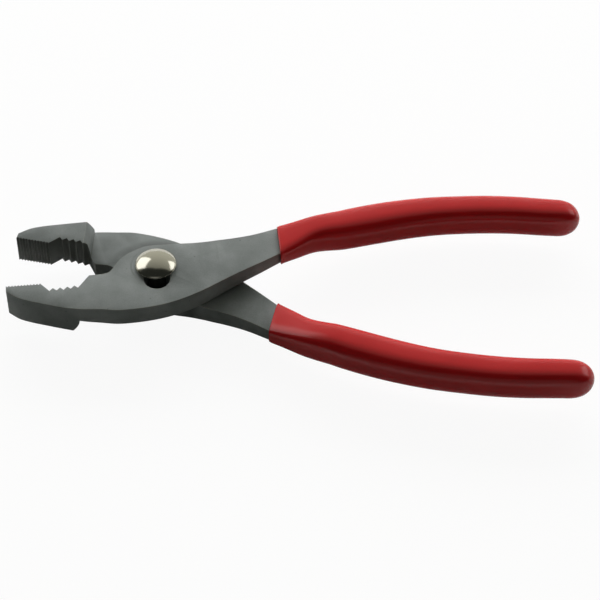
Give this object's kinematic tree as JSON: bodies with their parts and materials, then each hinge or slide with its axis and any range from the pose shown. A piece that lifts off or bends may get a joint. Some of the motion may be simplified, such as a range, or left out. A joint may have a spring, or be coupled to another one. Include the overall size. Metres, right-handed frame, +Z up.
{
  "type": "slip joint pliers",
  "caption": "Slip joint pliers: two forged steel halves on a sliding pivot bolt, with toothed gripping jaws and bowed handles dipped in vinyl.",
  "frame": {"origin": "on the axis of the pivot bolt, at the level of the underside of the nut", "axes": "+X along the middle line between the handles, from the pivot towards the handle ends; +Y to the side of the slotted half's handle; +Z up, out of the domed bolt head"},
  "size_m": [0.2002, 0.089, 0.0215],
  "materials": {
    "forged_steel": "blasted and phosphated, matte grey",
    "plated_steel": "polished nickel plate",
    "dark_steel": "dark phosphate",
    "vinyl": "dipped vinyl, satin gloss"
  },
  "bodies": {
    "lower_half": {"pivot_half": "forged_steel", "pivot_half_grip": "vinyl"},
    "pivot": {"pivot_bolt": "plated_steel", "pivot_nut": "dark_steel"},
    "upper_half": {"slotted_half": "forged_steel", "slotted_half_grip": "vinyl"}
  },
  "joints": [
    {"name": "jaw_pivot", "type": "hinge", "parent": "lower_half", "child": "pivot", "pos_m": [0, 0, 0], "axis": [0, 0, 1], "range_deg": [-18.4, 40]},
    {"name": "slot_slip", "type": "slide", "parent": "pivot", "child": "upper_half", "axis": [-0.1599, 0.9871, 0], "range_m": [0, 0.00655]}
  ]
}
